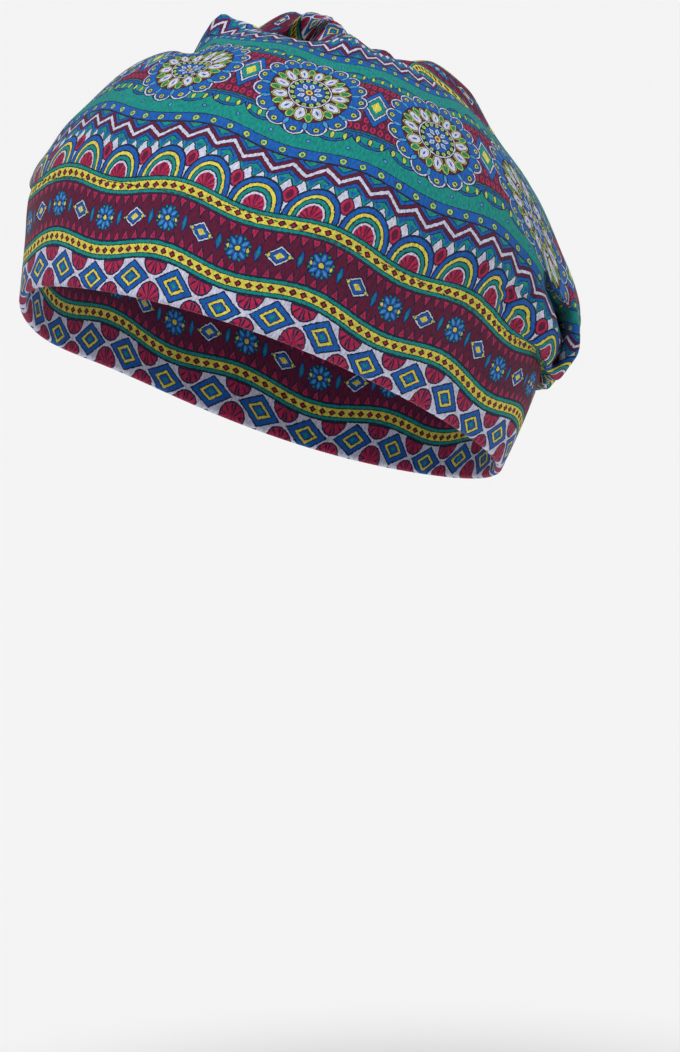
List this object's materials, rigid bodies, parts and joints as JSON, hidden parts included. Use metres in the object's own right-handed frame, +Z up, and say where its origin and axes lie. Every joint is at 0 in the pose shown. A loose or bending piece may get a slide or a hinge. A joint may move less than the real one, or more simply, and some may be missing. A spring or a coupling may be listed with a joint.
{
  "type": "chemo cap",
  "caption": "Soft slouchy jersey head cap with a deep turned-up hem, gathered above the hem, folded at the crown and hanging full over the nape.",
  "frame": {"origin": "middle of the hem opening, where the head goes in", "axes": "+Z up, -Y towards the brow, +X towards the wearer's left ear"},
  "size_m": [0.1737, 0.2248, 0.1766],
  "materials": {
    "printed_jersey": "matt printed stretch jersey in blue, wine, teal and yellow",
    "turned_hem": "the same matt printed jersey, turned up inside"
  },
  "bodies": {
    "root": {"crown": "printed_jersey", "hem_facing": "turned_hem"}
  },
  "joints": []
}
